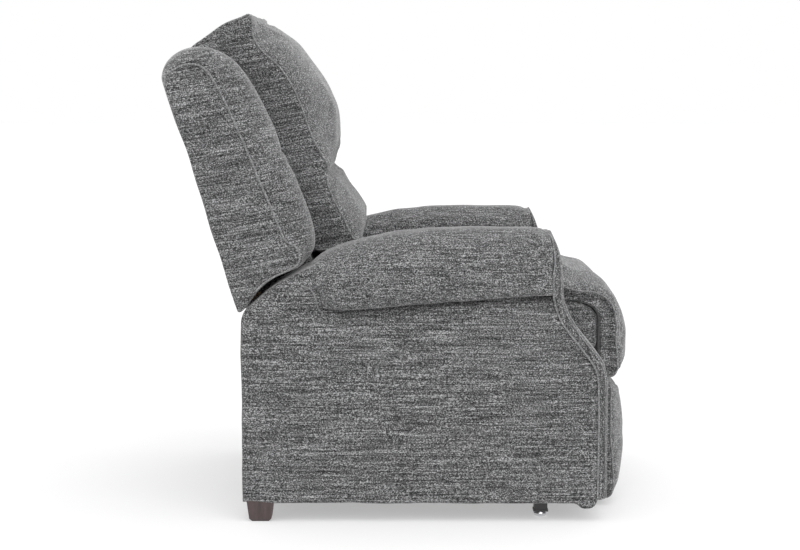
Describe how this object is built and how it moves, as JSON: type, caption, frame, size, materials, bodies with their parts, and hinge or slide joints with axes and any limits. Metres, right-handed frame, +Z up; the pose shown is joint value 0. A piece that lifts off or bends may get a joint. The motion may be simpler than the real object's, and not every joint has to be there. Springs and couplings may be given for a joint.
{
  "type": "recliner armchair",
  "caption": "Upholstered power recliner with pillow-top arms, wing-sided leaning back, head and lumbar pillows, wrap-over seat pad and a fold-out leg rest.",
  "frame": {"origin": "on the floor under the middle of the chair's box, chair upright and leg rest closed", "axes": "+X to the front, +Y to the sitter's left, +Z up"},
  "size_m": [0.975, 0.86, 1.061],
  "materials": {
    "fabric": "grey slubbed chenille weave",
    "timber": "bare timber",
    "foot_wood": "dark stain, satin",
    "steel": "black enamel",
    "black_steel": "black enamel",
    "chrome_tip": "polished",
    "plastic": "matte black",
    "button_plastic": "matte dark grey"
  },
  "bodies": {
    "frame": {"arm_cover_left": "fabric", "arm_cover_right": "fabric", "arm_roll_left": "fabric", "arm_roll_right": "fabric", "arm_band_left": "fabric", "arm_band_right": "fabric", "rear_foot_left": "foot_wood", "rear_foot_right": "foot_wood", "front_leg_left": "black_steel", "front_leg_right": "black_steel", "glide_left": "chrome_tip", "glide_right": "chrome_tip", "cross_rail": "timber", "apron": "fabric", "base_plate_left": "steel", "base_plate_right": "steel", "recline_motor": "plastic", "power_inlet": "plastic", "switch_panel": "plastic"},
    "back": {"back_post_left": "timber", "back_post_right": "timber", "back_rail_top": "timber", "back_rail_mid": "timber", "back_bracket_left": "steel", "back_bracket_right": "steel", "drive_tube": "steel", "wing_left": "fabric", "wing_right": "fabric", "outer_back": "fabric", "back_core": "fabric", "head_pillow": "fabric", "lumbar_pillow": "fabric"},
    "seat": {"seat_rail_left": "timber", "seat_rail_right": "timber", "seat_rail_front": "timber", "seat_rail_rear": "timber", "seat_springs": "steel", "seat_core": "fabric", "seat_pad": "fabric", "seat_plate_left": "steel", "seat_plate_right": "steel", "leg_motor": "plastic"},
    "crank": {"torque_tube": "steel", "link_a_left": "steel", "link_a_right": "steel"},
    "links_b": {"link_b_left": "steel", "link_b_right": "steel"},
    "links_c": {"link_c_left": "steel", "link_c_right": "steel"},
    "links_d": {"link_d_left": "steel", "link_d_right": "steel"},
    "leg_rest": {"foot_bracket_left": "steel", "foot_bracket_right": "steel", "foot_board": "timber", "foot_pad": "fabric"},
    "leg_carriage": {"leg_carriage": "steel"},
    "recline_carriage": {"recline_carriage": "steel"},
    "button_up": {"button_up": "button_plastic"},
    "button_down": {"button_down": "button_plastic"}
  },
  "joints": [
    {"name": "recline", "type": "hinge", "parent": "frame", "child": "back", "pos_m": [-0.19, 0, 0.32], "axis": [0, -1, 0], "range_deg": [0, 36]},
    {"name": "seat_glide", "type": "slide", "parent": "frame", "child": "seat", "axis": [1, 0, 0], "range_m": [0, 0.0433]},
    {"name": "recline_drive", "type": "slide", "parent": "frame", "child": "recline_carriage", "axis": [1, 0, 0], "range_m": [0, 0.0433]},
    {"name": "leg_lift", "type": "hinge", "parent": "seat", "child": "crank", "pos_m": [0.33, 0, 0.25], "axis": [0, -1, 0], "range_deg": [0, 90]},
    {"name": "link_b_turn", "type": "hinge", "parent": "seat", "child": "links_b", "pos_m": [0.37031, 0, 0.28742], "axis": [0, -1, 0], "range_deg": [0, 90]},
    {"name": "link_c_turn", "type": "hinge", "parent": "crank", "child": "links_c", "pos_m": [0.25695, 0, 0.0692], "axis": [0, -1, 0], "range_deg": [-90, 0]},
    {"name": "link_d_turn", "type": "hinge", "parent": "links_b", "child": "links_d", "pos_m": [0.2804, 0, 0.0649], "axis": [0, -1, 0], "range_deg": [-90, 0]},
    {"name": "leg_rest_turn", "type": "hinge", "parent": "links_c", "child": "leg_rest", "pos_m": [0.414, 0, 0.215], "axis": [0, -1, 0], "range_deg": [0, 90]},
    {"name": "leg_drive", "type": "slide", "parent": "seat", "child": "leg_carriage", "axis": [1, 0, 0], "range_m": [0, 0.07072]},
    {"name": "press_up", "type": "slide", "parent": "frame", "child": "button_up", "axis": [0, -1, 0], "range_m": [0, 0.002], "stiffness_N_per_m": 600, "springref_m": -0.001},
    {"name": "press_down", "type": "slide", "parent": "frame", "child": "button_down", "axis": [0, -1, 0], "range_m": [0, 0.002], "stiffness_N_per_m": 600, "springref_m": -0.001}
  ],
  "couplings": [
    {"joint": "seat_glide", "follows": "recline", "m_per_rad": 0.068854},
    {"joint": "recline_drive", "follows": "recline", "m_per_rad": 0.068854},
    {"joint": "link_b_turn", "follows": "leg_lift", "ratio": 1},
    {"joint": "link_c_turn", "follows": "leg_lift", "ratio": -1},
    {"joint": "link_d_turn", "follows": "leg_lift", "ratio": -1},
    {"joint": "leg_rest_turn", "follows": "leg_lift", "ratio": 1},
    {"joint": "leg_drive", "follows": "leg_lift", "m_per_rad": 0.045016}
  ]
}
